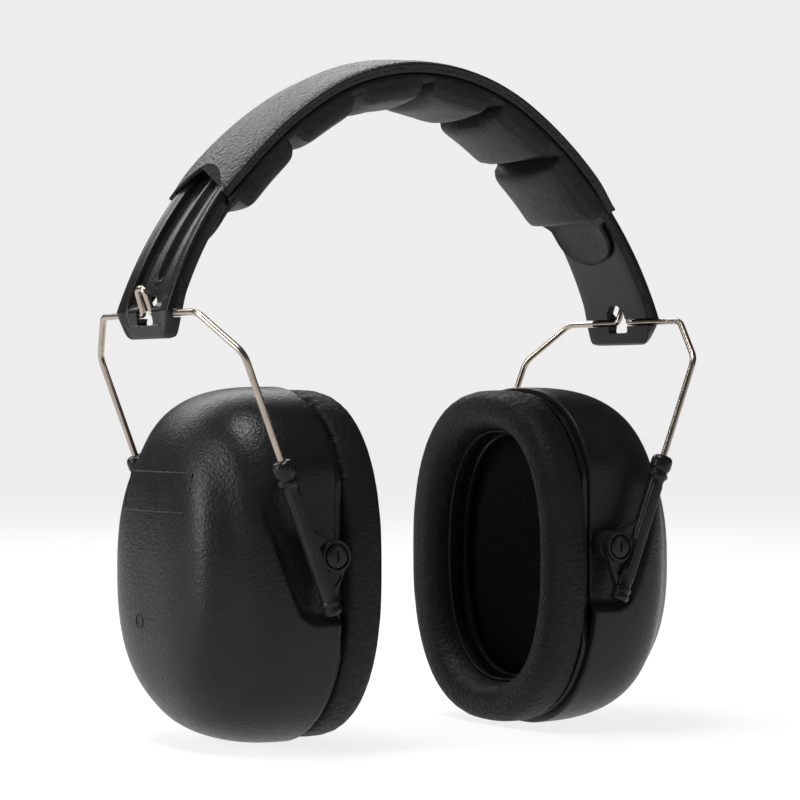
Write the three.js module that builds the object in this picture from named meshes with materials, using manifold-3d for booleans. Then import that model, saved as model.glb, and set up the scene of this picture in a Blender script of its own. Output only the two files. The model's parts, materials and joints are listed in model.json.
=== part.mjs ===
// An over-the-head earmuff: a padded headband, two folding wire yokes, four sliding arms and two cups.
//
// X runs from the left cup to the right cup, Y from front to back, and Z up. Each side is built for
// +X and mirrored for the left. Heights are measured from the wire hinge, and the last lines lift
// the whole object so that its cushions stand at Z = 0. All lengths are in millimetres.

import * as THREE from 'three';
import { mergeVertices } from 'three/addons/utils/BufferGeometryUtils.js';
import Module from 'manifold-3d';

const wasm = await Module();
wasm.setup();

// Driving dimensions

const GAP = 0.3; // clearance kept between neighbouring pieces

// The headband's outer edge is two arcs a side: a tight one over the crown and a wide one below it.
const CROWN_Z = 77;
const CROWN_RADIUS = 70;
const FLANK_RADIUS = 125;
const CROWN_ARC_END = 33; // degrees of slope where the arcs meet
const TIP_SLOPE = 71.3; // degrees of slope where the limb turns upright to form the end piece
const STRIP_HALF_WIDTH = 15.2;
const TIP_HALF_WIDTH = 16.8;
const FLARE_START = 88; // along the band, where the strip starts to widen towards its tip
const STRIP_THICKNESS = 4.4;
const TIP_THICKENING = 0.6;
const TIP_NARROWING = 0.8; // width of the end piece's bottom as a share of its top
const TIP_BOTTOM_Z = -7.2;
const TIP_INNER_X = 84.4;
const TIP_OUTER_X = 87;

const SLEEVE_HALF_WIDTH = 18;
const SLEEVE_THICKNESS = 1.3;
const SLEEVE_CREST = 2; // how far the middle of the sleeve stands above its edges
const SLEEVE_SIDE_DEPTH = 2.7; // how far its edges wrap down beside the strip
const SLEEVE_REACH_MIDDLE = 75; // along the band, from the crown to the sleeve's hollowed end
const SLEEVE_REACH_EDGE = 85;

const PADS_PER_SIDE = 3;
const PAD_LENGTH = 27.8; // along the band's outer edge
const END_PAD_LENGTH = 29.9; // the lowest pad on each side
const PAD_FACE_DEPTH = 13.5; // below the band's outer edge, at the middle of a pad
const PAD_EDGE_RISE = 2.7; // how far the face curves away towards its front and back edges
const NOTCH_AT_BASE = 2.4; // gap between two pads beside the strip
const NOTCH_SPREAD = 2; // how much shorter each end of a pad is at its face
const PAD_CORNER = 2;
const TONGUE_THICKNESS = 1.3;

const HINGE_X = 86;
const WIRE_RADIUS = 1;
const WIRE_SHOULDER_Y = 30; // end of the wire's straight run through the end piece
const CRANK_HEIGHT = 7.8;
const CRANK_LEAN = 19; // degrees outward from upright
const CRANK_HALF_WIDTH = 2.4;
const CRANK_SPREAD = 0.4; // how much wider each side of the loop is at its foot
const LEG_Y = 46;
const LEG_TOP_X = 79.3;
const LEG_TOP_Z = -12.1;
const LEG_LEAN = 21.5; // degrees from upright, inboard towards the bottom
const ARM_TOP_ALONG_LEG = 32.4; // from the top of the leg down to the top of the arm
const ARM_LENGTH = 46.9;
const ARM_RADIUS = 2.6;
const BULB_RADIUS = 3.3;
const RING_RADIUS = 3.2;
const FOOT_RADIUS = 2.9;
const WEB_TOP_ALONG_ARM = 19.5;
const WIRE_END_ALONG_LEG = 58; // the leg ends inside the arm, a full retraction above its mouth

const PIVOT_X = 50;
const PIVOT_Z = -69.5;
const PLATE_INNER_Y = 44;
const PLATE_OUTER_Y = 46.2;
const RIM_HEIGHT = 1.4; // of the raised rim round the pin's head
const BOSS_RADIUS = 4.7;
const PIN_STEM_RADIUS = 2.2;
const PIN_HEAD_RADIUS = 3.4;
const PIN_HEAD_CLEARANCE = 0.4;
const PIN_HEAD_THICKNESS = 1.3;
const SNAP_COLLAR = 0.8; // how far the collar stands out from the stem

const CUP_CENTRE_Z = -74;
const CUP_HALF_WIDTH = 43;
const CUP_HALF_HEIGHT = 53;
const CUP_OUTLINE_POWER = 2.4; // 2 is an ellipse, more is squarer
const SEAM_X = 45;
const CUP_DEPTH = 41.3;
const CUP_POLE_Z = -83; // height of the cup's outermost point
const SHOULDER_POWER_TOP = 3.2; // the crisper shoulder above
const SHOULDER_POWER_BOTTOM = 2.8; // the rounder shoulder below
const SHELL_WALL = 2.5;
const POCKET_FLOOR_Y = 38.5;
const POCKET_TOP_Z = -40;
const POCKET_BOTTOM_Z = -87;
const POCKET_TOP_X = 76.5;
const POCKET_BOTTOM_X = 56;

const PLATE_THICKNESS = 1.8; // seal plate
const SEAM_GROOVE_DEPTH = 1.7;
const CUSHION_FACE_X = 28.8;
const CUSHION_WIDTH = 14; // across the ring, from its outline to the ear opening
const CUSHION_SKIN = 1.2;
const CUSHION_EDGE_DEPTH = 5.5; // from the face to where the outer side is upright
const DAMPING_FOAM_THICKNESS = 12;
const DAMPING_FOAM_INSET = 10;

// Colours

function finish(colour, roughness, metalness) {
  return new THREE.MeshStandardMaterial({ color: colour, roughness, metalness });
}

const GLOSS_PLASTIC = () => finish(0x141416, 0.3, 0);
const GRAINED_PLASTIC = () => finish(0x1a1a1c, 0.55, 0);
const LEATHERETTE = () => finish(0x1c1b1c, 0.6, 0);
const STEEL = () => finish(0xb5aa9c, 0.25, 1);
const FOAM = () => finish(0x2a2a2c, 0.95, 0);

// Small helpers

function radians(degrees) {
  return (degrees * Math.PI) / 180;
}

function point(x, y, z) {
  return new THREE.Vector3(x, y, z);
}

function signedPower(value, power) {
  return Math.sign(value) * Math.abs(value) ** power;
}

function geometryFrom(points, faces) {
  const geometry = new THREE.BufferGeometry();
  const numbers = points.flatMap((p) => [p.x, p.y, p.z]);
  geometry.setAttribute('position', new THREE.Float32BufferAttribute(numbers, 3));
  geometry.setIndex(faces.flat());
  return geometry;
}

function volumeInside(points, faces) {
  const corner = new THREE.Vector3();
  return faces.reduce((sum, [a, b, c]) => sum + corner.crossVectors(points[b], points[c]).dot(points[a]), 0);
}

// Skins a run of rings that all have the same number of points. The two ends are closed with flat
// faces, unless the last ring joins the first. Faces are turned so that they point out.
function skin(rings, { joinsItself = false, endOutline = null } = {}) {
  const around = rings[0].length;
  const points = rings.flat();
  const faces = [];
  const steps = joinsItself ? rings.length : rings.length - 1;
  for (let step = 0; step < steps; step += 1) {
    const here = step * around;
    const there = ((step + 1) % rings.length) * around;
    for (let side = 0; side < around; side += 1) {
      const next = (side + 1) % around;
      faces.push([here + side, here + next, there + next]);
      faces.push([here + side, there + next, there + side]);
    }
  }
  if (!joinsItself) {
    const last = (rings.length - 1) * around;
    for (const [a, b, c] of endFaces(endOutline)) {
      faces.push([c, b, a]);
      faces.push([last + a, last + b, last + c]);
    }
  }
  if (volumeInside(points, faces) < 0) {
    faces.forEach((face) => face.reverse());
  }
  return geometryFrom(points, faces);
}

// Triangles that fill a flat outline, wound the way the outline is.
function endFaces(outline) {
  const faces = THREE.ShapeUtils.triangulateShape(outline, []);
  const runsClockwise = THREE.ShapeUtils.isClockWise(outline);
  return faces.map(([a, b, c]) => {
    const turn = outline[b].clone().sub(outline[a]).cross(outline[c].clone().sub(outline[a]));
    return (turn < 0) === runsClockwise ? [a, b, c] : [c, b, a];
  });
}

function toSolid(geometry) {
  const bare = geometry.clone();
  bare.deleteAttribute('normal');
  bare.deleteAttribute('uv');
  const merged = mergeVertices(bare, 1e-4);
  const vertProperties = new Float32Array(merged.attributes.position.array);
  const triVerts = new Uint32Array(merged.index.array);
  return new wasm.Manifold(new wasm.Mesh({ numProp: 3, vertProperties, triVerts }));
}

function toGeometry(solid) {
  const mesh = solid.getMesh();
  const geometry = new THREE.BufferGeometry();
  geometry.setAttribute('position', new THREE.BufferAttribute(mesh.vertProperties, 3));
  geometry.setIndex(new THREE.BufferAttribute(mesh.triVerts, 1));
  return geometry;
}

function piece(name, geometry, material) {
  geometry.computeVertexNormals();
  const mesh = new THREE.Mesh(geometry, material);
  mesh.name = name;
  return mesh;
}

// A solid of revolution about a line along Y, from [radius, y] pairs.
function turnedAboutY(profile, sides) {
  return new THREE.LatheGeometry(profile.map(([r, y]) => new THREE.Vector2(r, y)), sides);
}

function cylinderAlongY(radius, fromY, toY, sides) {
  const geometry = new THREE.CylinderGeometry(radius, radius, toY - fromY, sides);
  return geometry.translate(0, (fromY + toY) / 2, 0);
}

// Extrudes an outline drawn in X and Z from one Y to another.
function slabAlongY(shape, fromY, toY, curveSegments) {
  const geometry = new THREE.ExtrudeGeometry(shape, {
    depth: toY - fromY,
    bevelEnabled: false,
    curveSegments,
  });
  geometry.rotateX(Math.PI / 2);
  return geometry.translate(0, toY, 0);
}

// Headband

const CROWN_ARC_LENGTH = CROWN_RADIUS * radians(CROWN_ARC_END);
const TIP_ALONG = CROWN_ARC_LENGTH + FLANK_RADIUS * radians(TIP_SLOPE - CROWN_ARC_END);

// A point at a distance along the band from its crown, positive to the right, at a depth below its
// outer edge towards the head and at a distance across the band.
function bandPoint(along, depth, across) {
  const distance = Math.abs(along);
  const side = Math.sign(along) || 1;
  const onCrown = distance < CROWN_ARC_LENGTH;
  const turned = onCrown ? distance / CROWN_RADIUS : (distance - CROWN_ARC_LENGTH) / FLANK_RADIUS;
  const slope = onCrown ? turned : radians(CROWN_ARC_END) + turned;
  const radius = onCrown ? CROWN_RADIUS : FLANK_RADIUS;
  const shift = onCrown ? 0 : FLANK_RADIUS - CROWN_RADIUS;
  const centreX = -shift * Math.sin(radians(CROWN_ARC_END));
  const centreZ = CROWN_Z - CROWN_RADIUS - shift * Math.cos(radians(CROWN_ARC_END));
  const x = centreX + (radius - depth) * Math.sin(slope);
  const z = centreZ + (radius - depth) * Math.cos(slope);
  return point(side * x, across, z);
}

// Half of the strip's cross-section, as [across, share of the thickness from inside to outside]: a
// rail along each edge, a channel beside it and a rib in the middle.
const RAIL_INNER = 10.2;
const CHANNEL_EDGE = 9.2;
const CHANNEL_FLOOR = 0.6;
const RIB_FOOT = 1.8;
const RIB_TOP = 1.2;
const RIB_HEIGHT = 0.85;
const STRIP_HALF_SECTION = [
  [STRIP_HALF_WIDTH, 0],
  [STRIP_HALF_WIDTH, 0.85],
  [STRIP_HALF_WIDTH - 1.2, 1],
  [RAIL_INNER, 1],
  [CHANNEL_EDGE, CHANNEL_FLOOR],
  [RIB_FOOT, CHANNEL_FLOOR],
  [RIB_TOP, RIB_HEIGHT],
];

// How much wider the strip is than its middle stretch, at a distance along the band.
function flare(along) {
  const share = Math.max(0, (Math.abs(along) - FLARE_START) / (TIP_ALONG - FLARE_START));
  return THREE.MathUtils.lerp(1, TIP_HALF_WIDTH / STRIP_HALF_WIDTH, share);
}

function bandStrip() {
  const otherHalf = STRIP_HALF_SECTION.map(([across, share]) => [-across, share]).reverse();
  const section = [...STRIP_HALF_SECTION, ...otherHalf];
  const bottom = (side) => section.map(([across, share]) => {
    const x = THREE.MathUtils.lerp(TIP_INNER_X, TIP_OUTER_X, share);
    return point(side * x, across * flare(TIP_ALONG) * TIP_NARROWING, TIP_BOTTOM_Z);
  });
  const steps = 22;
  const rings = [bottom(-1)];
  for (let step = 0; step <= steps; step += 1) {
    const along = TIP_ALONG * ((2 * step) / steps - 1);
    const isTip = step === 0 || step === steps;
    const thickness = STRIP_THICKNESS + (isTip ? TIP_THICKENING : 0);
    rings.push(section.map(([across, share]) => (
      bandPoint(along, thickness * (1 - share), across * flare(along))
    )));
  }
  rings.push(bottom(1));
  const outline = section.map(([across, share]) => new THREE.Vector2(across, share));
  let solid = toSolid(skin(rings, { endOutline: outline }));
  for (const side of [-1, 1]) {
    solid = solid.subtract(toSolid(hingeGroove(side))).subtract(toSolid(windowCut(side)));
  }
  return toGeometry(solid);
}

// The wire lies in a round-bottomed groove that is open towards the head.
function hingeGroove(side) {
  const radius = WIRE_RADIUS + GAP;
  const beyond = 8;
  const shape = new THREE.Shape();
  shape.moveTo(0, radius);
  shape.lineTo(-beyond, radius);
  shape.lineTo(-beyond, -radius);
  shape.lineTo(0, -radius);
  shape.absarc(0, 0, radius, -Math.PI / 2, Math.PI / 2, false);
  const geometry = slabAlongY(shape, -TIP_HALF_WIDTH - 1, TIP_HALF_WIDTH + 1, 6);
  geometry.translate(HINGE_X, 0, 0);
  return side > 0 ? geometry : geometry.rotateZ(Math.PI);
}

// The crank loop of the wire stands out through this window.
function windowCut(side) {
  const depth = 20;
  const shape = new THREE.Shape();
  const corners = [[4.9, -3], [4.3, 3], [2, 4.9]];
  shape.moveTo(-corners[0][0], corners[0][1]);
  corners.forEach(([across, height]) => shape.lineTo(across, height));
  corners.slice(1).reverse().forEach(([across, height]) => shape.lineTo(-across, height));
  shape.closePath();
  const geometry = new THREE.ExtrudeGeometry(shape, { depth, bevelEnabled: false });
  geometry.rotateX(Math.PI / 2);
  geometry.rotateZ(Math.PI / 2);
  return geometry.translate(side * HINGE_X - depth / 2, 0, 0);
}

// A skin over the strip that wraps its edges. Its ends are hollowed at the middle.
function bandSleeve() {
  const edge = -GAP; // just above the strip's outer edge
  const shoulder = edge - 0.6;
  const crest = (across) => SLEEVE_CREST * (1 - (across / SLEEVE_HALF_WIDTH) ** 2);
  const sideInner = SLEEVE_HALF_WIDTH - SLEEVE_THICKNESS;
  const acrossTop = [-0.9, -0.6, -0.2, 0.2, 0.6, 0.9].map((share) => share * SLEEVE_HALF_WIDTH);
  const outerLine = acrossTop.map((across) => [across, shoulder - crest(across)]);
  const innerLine = acrossTop.map((across) => {
    const under = shoulder - crest(across) + SLEEVE_THICKNESS;
    return [across, Math.min(edge, under)];
  });
  const section = [
    [-SLEEVE_HALF_WIDTH, SLEEVE_SIDE_DEPTH],
    [-SLEEVE_HALF_WIDTH, edge],
    ...outerLine,
    [SLEEVE_HALF_WIDTH, edge],
    [SLEEVE_HALF_WIDTH, SLEEVE_SIDE_DEPTH],
    [sideInner, SLEEVE_SIDE_DEPTH],
    ...innerLine.reverse(),
    [-sideInner, SLEEVE_SIDE_DEPTH],
  ];
  const steps = 18;
  const rings = [];
  for (let step = 0; step <= steps; step += 1) {
    const share = (2 * step) / steps - 1;
    rings.push(section.map(([across, depth]) => {
      const edgeShare = (across / SLEEVE_HALF_WIDTH) ** 2;
      const reach = THREE.MathUtils.lerp(SLEEVE_REACH_MIDDLE, SLEEVE_REACH_EDGE, edgeShare);
      return bandPoint(share * reach, depth, across);
    }));
  }
  const outline = section.map(([across, depth]) => new THREE.Vector2(across, depth));
  return skin(rings, { endOutline: outline });
}

// Where one pad meets the next, counted from the crown, along the band.
function padBoundary(count) {
  const inner = Math.min(Math.abs(count), PADS_PER_SIDE - 1) * PAD_LENGTH;
  const isEnd = Math.abs(count) === PADS_PER_SIDE;
  return Math.sign(count) * (inner + (isEnd ? END_PAD_LENGTH : 0));
}

// One pad: crowned towards the head, narrower at its face, and channelled to sit around the strip.
function headPad(index) {
  const start = padBoundary(index - PADS_PER_SIDE);
  const end = padBoundary(index + 1 - PADS_PER_SIDE);
  const middle = (start + end) / 2;
  const sideTop = SLEEVE_SIDE_DEPTH + GAP;
  const seat = STRIP_THICKNESS + GAP;
  const seatEdge = STRIP_HALF_WIDTH + GAP;
  const face = (across) => PAD_FACE_DEPTH - PAD_EDGE_RISE * (across / SLEEVE_HALF_WIDTH) ** 2;
  const section = [
    [-SLEEVE_HALF_WIDTH, sideTop],
    [-SLEEVE_HALF_WIDTH, face(SLEEVE_HALF_WIDTH)],
    ...[-0.65, -0.27, 0.27, 0.65].map((share) => {
      const across = share * SLEEVE_HALF_WIDTH;
      return [across, face(across)];
    }),
    [SLEEVE_HALF_WIDTH, face(SLEEVE_HALF_WIDTH)],
    [SLEEVE_HALF_WIDTH, sideTop],
    [seatEdge, sideTop],
    [seatEdge, seat],
    [-seatEdge, seat],
    [-seatEdge, sideTop],
  ];
  const halfLengthAtTop = (end - start - NOTCH_AT_BASE) / 2;
  const rings = [-1, -0.85, -0.3, 0.3, 0.85, 1].map((share) => section.map(([across, depth]) => {
    const sunk = (depth - sideTop) / (PAD_FACE_DEPTH - sideTop);
    const halfLength = halfLengthAtTop - NOTCH_SPREAD * sunk;
    const isCorner = sunk > 0.5 && Math.abs(share) === 1;
    return bandPoint(middle + share * halfLength, depth - (isCorner ? PAD_CORNER : 0), across);
  }));
  const outline = section.map(([across, depth]) => new THREE.Vector2(across, depth));
  return skin(rings, { endOutline: outline });
}

// The lining below the last pad, a thin strip with a rounded end that lies along the limb.
function padTongue(side) {
  const start = padBoundary(PADS_PER_SIDE);
  const near = STRIP_THICKNESS + GAP;
  const far = near + TONGUE_THICKNESS;
  const outline = [[0, 13.5], [6, 13.5], [11, 12.5], [14.5, 9], [16, 3]]; // along, half width
  const rings = outline.map(([along, halfWidth]) => [
    bandPoint(side * (start + along), near, -halfWidth),
    bandPoint(side * (start + along), near, halfWidth),
    bandPoint(side * (start + along), far, halfWidth),
    bandPoint(side * (start + along), far, -halfWidth),
  ]);
  const square = [[0, 0], [1, 0], [1, 1], [0, 1]].map(([x, y]) => new THREE.Vector2(x, y));
  return skin(rings, { endOutline: square });
}

// Wire yoke and its arms

const LEG_DIRECTION = point(-Math.sin(radians(LEG_LEAN)), 0, -Math.cos(radians(LEG_LEAN)));

function onLeg(distance, face) {
  return point(LEG_TOP_X, face * LEG_Y, LEG_TOP_Z).addScaledVector(LEG_DIRECTION, distance);
}

function onCrank(across, height) {
  const lean = radians(CRANK_LEAN);
  return point(HINGE_X + height * Math.sin(lean), across, height * Math.cos(lean));
}

// Rounds the inner corners of a run of straight stretches.
function roundCorners(corners, radii, steps) {
  const path = [corners[0]];
  for (let index = 1; index < corners.length - 1; index += 1) {
    const corner = corners[index];
    const back = corners[index - 1].clone().sub(corner);
    const ahead = corners[index + 1].clone().sub(corner);
    const halfTurn = (Math.PI - back.angleTo(ahead)) / 2;
    const reach = radii[index - 1] * Math.tan(halfTurn);
    const from = corner.clone().addScaledVector(back.normalize(), reach);
    const to = corner.clone().addScaledVector(ahead.normalize(), reach);
    const bend = new THREE.QuadraticBezierCurve3(from, corner, to);
    path.push(...bend.getPoints(steps));
  }
  path.push(corners[corners.length - 1]);
  return path;
}

// A round bar along a path, with its sections carried from point to point without twist.
function roundBar(path, radius, sides) {
  const directions = path.map((here, index) => {
    const before = path[Math.max(index - 1, 0)];
    const after = path[Math.min(index + 1, path.length - 1)];
    return after.clone().sub(before).normalize();
  });
  const across = point(1, 0, 0);
  const rings = path.map((here, index) => {
    const along = directions[index];
    across.addScaledVector(along, -across.dot(along)).normalize();
    const up = along.clone().cross(across);
    return Array.from({ length: sides }, (_, side) => {
      const turn = (2 * Math.PI * side) / sides;
      const offset = across.clone().multiplyScalar(Math.cos(turn)).addScaledVector(up, Math.sin(turn));
      return here.clone().addScaledVector(offset, radius);
    });
  });
  const outline = Array.from({ length: sides }, (_, side) => {
    const turn = (2 * Math.PI * side) / sides;
    return new THREE.Vector2(Math.cos(turn), Math.sin(turn));
  });
  return skin(rings, { endOutline: outline });
}

function yokeWire() {
  const half = (face) => [
    onCrank(face * CRANK_HALF_WIDTH, CRANK_HEIGHT),
    onCrank(face * (CRANK_HALF_WIDTH + CRANK_SPREAD), 0),
    point(HINGE_X, face * WIRE_SHOULDER_Y, 0),
    onLeg(0, face),
    onLeg(WIRE_END_ALONG_LEG, face),
  ];
  const corners = [...half(-1).reverse(), ...half(1)];
  const bends = [5, 5, 1.6, 2.2]; // radii from the leg's top to the crank's top
  const radii = [...bends, ...[...bends].reverse()];
  return roundBar(roundCorners(corners, radii, 4), WIRE_RADIUS, 8);
}

// The sliding tube, with a bulb and a ring at its mouth and a small ring at its foot.
function armTube(face) {
  const bore = WIRE_RADIUS + GAP;
  const profile = [
    [bore, 0],
    [BULB_RADIUS - 0.9, 0],
    [BULB_RADIUS, 1.4],
    [BULB_RADIUS, 4],
    [BULB_RADIUS - 0.5, 5.4],
    [RING_RADIUS, 6.4],
    [ARM_RADIUS, 8],
    [ARM_RADIUS, ARM_LENGTH - 4],
    [FOOT_RADIUS, ARM_LENGTH - 3],
    [FOOT_RADIUS - 0.3, ARM_LENGTH],
    [bore, ARM_LENGTH],
    [bore, 0],
  ];
  return laidAlongArm(turnedAboutY(profile, 12), face);
}

function boreOfArm(face) {
  return laidAlongArm(cylinderAlongY(WIRE_RADIUS + GAP, -1, ARM_LENGTH + 1, 12), face);
}

// Moves a shape made along +Y from the origin to run down the leg from the top of the arm.
function laidAlongArm(geometry, face) {
  const turn = new THREE.Quaternion().setFromUnitVectors(point(0, 1, 0), LEG_DIRECTION);
  const top = onLeg(ARM_TOP_ALONG_LEG, face);
  return geometry.applyQuaternion(turn).translate(top.x, top.y, top.z);
}

// The flat web between the tube and the pivot eye.
function armWeb(face) {
  const top = onLeg(ARM_TOP_ALONG_LEG + WEB_TOP_ALONG_ARM, face);
  const foot = onLeg(ARM_TOP_ALONG_LEG + ARM_LENGTH - 3.5, face);
  const shape = new THREE.Shape();
  shape.moveTo(top.x, top.z);
  shape.absarc(PIVOT_X, PIVOT_Z, BOSS_RADIUS, radians(80), radians(205), false);
  shape.lineTo(foot.x - 1.5, foot.z);
  shape.lineTo(foot.x, foot.z);
  shape.closePath();
  return slabAcross(shape, face, PLATE_INNER_Y, PLATE_OUTER_Y);
}

// A slab between two distances from the middle plane, on the front or the rear side.
function slabAcross(shape, face, near, far) {
  const limits = [face * near, face * far].sort((a, b) => a - b);
  return slabAlongY(shape, limits[0], limits[1], 6);
}

function cylinderAtPivot(radius, face, near, far, sides) {
  const limits = [face * near, face * far].sort((a, b) => a - b);
  return cylinderAlongY(radius, limits[0], limits[1], sides).translate(PIVOT_X, 0, PIVOT_Z);
}

function arm(face) {
  const rim = PLATE_OUTER_Y + RIM_HEIGHT;
  const recess = PIN_HEAD_RADIUS + PIN_HEAD_CLEARANCE;
  const solid = toSolid(armTube(face))
    .add(toSolid(armWeb(face)))
    .add(toSolid(cylinderAtPivot(BOSS_RADIUS, face, PLATE_INNER_Y, rim, 20)))
    .subtract(toSolid(cylinderAtPivot(PIN_STEM_RADIUS + GAP, face, 40, 50, 12)))
    .subtract(toSolid(cylinderAtPivot(recess, face, PLATE_OUTER_Y, 50, 16)))
    .subtract(toSolid(boreOfArm(face)));
  return toGeometry(solid);
}

// A headed pin with a snap collar that catches behind the wall of the cup.
function pivotPin(face) {
  const wallInner = POCKET_FLOOR_Y - SHELL_WALL;
  const collar = PIN_STEM_RADIUS + SNAP_COLLAR;
  const headInner = PLATE_OUTER_Y + GAP;
  const profile = [
    [0, wallInner - 2],
    [PIN_STEM_RADIUS, wallInner - 2],
    [collar, wallInner - 1],
    [PIN_STEM_RADIUS, wallInner - GAP],
    [PIN_STEM_RADIUS, headInner],
    [PIN_HEAD_RADIUS, headInner],
    [PIN_HEAD_RADIUS, headInner + PIN_HEAD_THICKNESS - 0.2],
    [0, headInner + PIN_HEAD_THICKNESS],
  ];
  const geometry = turnedAboutY(profile, 12);
  if (face < 0) {
    geometry.rotateX(Math.PI);
  }
  return geometry.translate(PIVOT_X, 0, PIVOT_Z);
}

// Cup

// A point on the cup's outline at a turn from its top, drawn in by an inset.
function outlinePoint(turn, inset) {
  const power = 2 / CUP_OUTLINE_POWER;
  const across = (CUP_HALF_WIDTH - inset) * signedPower(Math.sin(turn), power);
  const up = (CUP_HALF_HEIGHT - inset) * signedPower(Math.cos(turn), power);
  return [across, CUP_CENTRE_Z + up];
}

// Turns are taken half a step off the axes, so that the cup has a flat facet to stand on.
function turns(count) {
  return Array.from({ length: count }, (_, index) => (2 * Math.PI * (index + 0.5)) / count);
}

function ovalRing(count, inset, x) {
  return turns(count).map((turn) => {
    const [y, z] = outlinePoint(turn, inset);
    return point(x, y, z);
  });
}

// A solid with the cup's outer form, drawn in by an inset on every side but the seam.
function cupForm(inset, around, levels, startX) {
  const depth = CUP_DEPTH - inset;
  const rings = levels.map((level) => turns(around).map((turn) => {
    const [y, z] = outlinePoint(turn, inset);
    const lowness = (1 - Math.cos(turn)) / 2;
    const power = THREE.MathUtils.lerp(SHOULDER_POWER_TOP, SHOULDER_POWER_BOTTOM, lowness ** 3);
    const outward = Math.sin(radians(level)) ** (2 / power);
    const spread = Math.cos(radians(level)) ** (2 / power);
    const x = level === 0 ? startX : SEAM_X + depth * outward;
    return point(x, y * spread, CUP_POLE_Z + (z - CUP_POLE_Z) * spread);
  }));
  const outline = rings[0].map((p) => new THREE.Vector2(p.y, p.z));
  return skin(rings, { endOutline: outline });
}

// The recess in the cup's side where the arm's eye lies.
function pocket(face, grow) {
  const shape = new THREE.Shape();
  shape.moveTo(SEAM_X - 5, POCKET_TOP_Z + grow);
  shape.lineTo(POCKET_TOP_X + grow, POCKET_TOP_Z + grow);
  shape.lineTo(POCKET_BOTTOM_X + grow, POCKET_BOTTOM_Z - grow);
  shape.lineTo(SEAM_X - 5, POCKET_BOTTOM_Z - grow);
  shape.closePath();
  return slabAcross(shape, face, POCKET_FLOOR_Y - grow, CUP_HALF_WIDTH + 5);
}

function cupShell() {
  const levels = [0, 9, 19, 30, 41, 52, 63, 74, 84];
  const cavityLevels = [0, 18, 36, 54, 70, 82];
  let outside = toSolid(cupForm(0, 36, levels, SEAM_X));
  let cavity = toSolid(cupForm(SHELL_WALL, 28, cavityLevels, SEAM_X - 1));
  for (const face of [-1, 1]) {
    outside = outside.subtract(toSolid(pocket(face, 0)));
    const boss = cylinderAtPivot(BOSS_RADIUS, face, POCKET_FLOOR_Y - 1, PLATE_INNER_Y - GAP, 20);
    outside = outside.add(toSolid(boss));
    cavity = cavity.subtract(toSolid(pocket(face, SHELL_WALL)));
  }
  let solid = outside.subtract(cavity);
  for (const face of [-1, 1]) {
    solid = solid.subtract(toSolid(cylinderAtPivot(PIN_STEM_RADIUS + GAP, face, 30, 50, 12)));
  }
  return toGeometry(solid);
}

// A closed ring with the cup's outline, from a section of [inset, x] pairs.
function ringOf(section, around) {
  const lines = section.map(([inset, x]) => ovalRing(around, inset, x));
  const rings = turns(around).map((_, index) => lines.map((line) => line[index]));
  return skin(rings, { joinsItself: true });
}

const SEAL_PLATE_X = SEAM_X - GAP - PLATE_THICKNESS;

function sealPlate() {
  const openingInset = CUSHION_WIDTH + 1;
  return ringOf([
    [SEAM_GROOVE_DEPTH, SEAL_PLATE_X],
    [SEAM_GROOVE_DEPTH, SEAL_PLATE_X + PLATE_THICKNESS],
    [openingInset, SEAL_PLATE_X + PLATE_THICKNESS],
    [openingInset, SEAL_PLATE_X],
  ], 32);
}

const CUSHION_BACK_X = SEAL_PLATE_X - GAP;

function cushionCover() {
  const face = CUSHION_FACE_X;
  const wide = CUSHION_WIDTH;
  const skinDepth = CUSHION_SKIN;
  return ringOf([
    [1, CUSHION_BACK_X],
    [0, CUSHION_BACK_X - 2],
    [0, face + CUSHION_EDGE_DEPTH],
    [1.6, face + 1.6],
    [5, face],
    [9, face],
    [wide - 1, face + 2],
    [wide, face + 6],
    [wide, CUSHION_BACK_X],
    [wide - skinDepth, CUSHION_BACK_X],
    [wide - skinDepth, face + 6],
    [8.8, face + skinDepth],
    [5.2, face + skinDepth],
    [skinDepth, face + CUSHION_EDGE_DEPTH],
    [skinDepth + 0.6, CUSHION_BACK_X],
  ], 32);
}

function cushionFoam() {
  const face = CUSHION_FACE_X + CUSHION_SKIN + GAP;
  const near = CUSHION_SKIN + GAP;
  const far = CUSHION_WIDTH - CUSHION_SKIN - GAP;
  return ringOf([
    [near + 0.6, CUSHION_BACK_X],
    [near + 0.2, face + 4.5],
    [5.4, face],
    [8.6, face],
    [far, face + 5],
    [far, CUSHION_BACK_X],
  ], 32);
}

// Open foam that fills the mouth of the cup behind the seal plate.
function dampingFoam() {
  const near = SEAM_X + 1;
  const far = near + DAMPING_FOAM_THICKNESS;
  const rings = [near, far].map((x) => ovalRing(28, DAMPING_FOAM_INSET, x));
  const outline = rings[0].map((p) => new THREE.Vector2(p.y, p.z));
  return skin(rings, { endOutline: outline });
}

// Assembly

function headband() {
  const group = new THREE.Group();
  group.add(piece('band_strip', bandStrip(), GLOSS_PLASTIC()));
  group.add(piece('band_sleeve', bandSleeve(), LEATHERETTE()));
  for (let index = 0; index < 2 * PADS_PER_SIDE; index += 1) {
    group.add(piece(`head_pad_${index + 1}`, headPad(index), LEATHERETTE()));
  }
  group.add(piece('pad_tongue_left', padTongue(-1), LEATHERETTE()));
  group.add(piece('pad_tongue_right', padTongue(1), LEATHERETTE()));
  return group;
}

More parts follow.
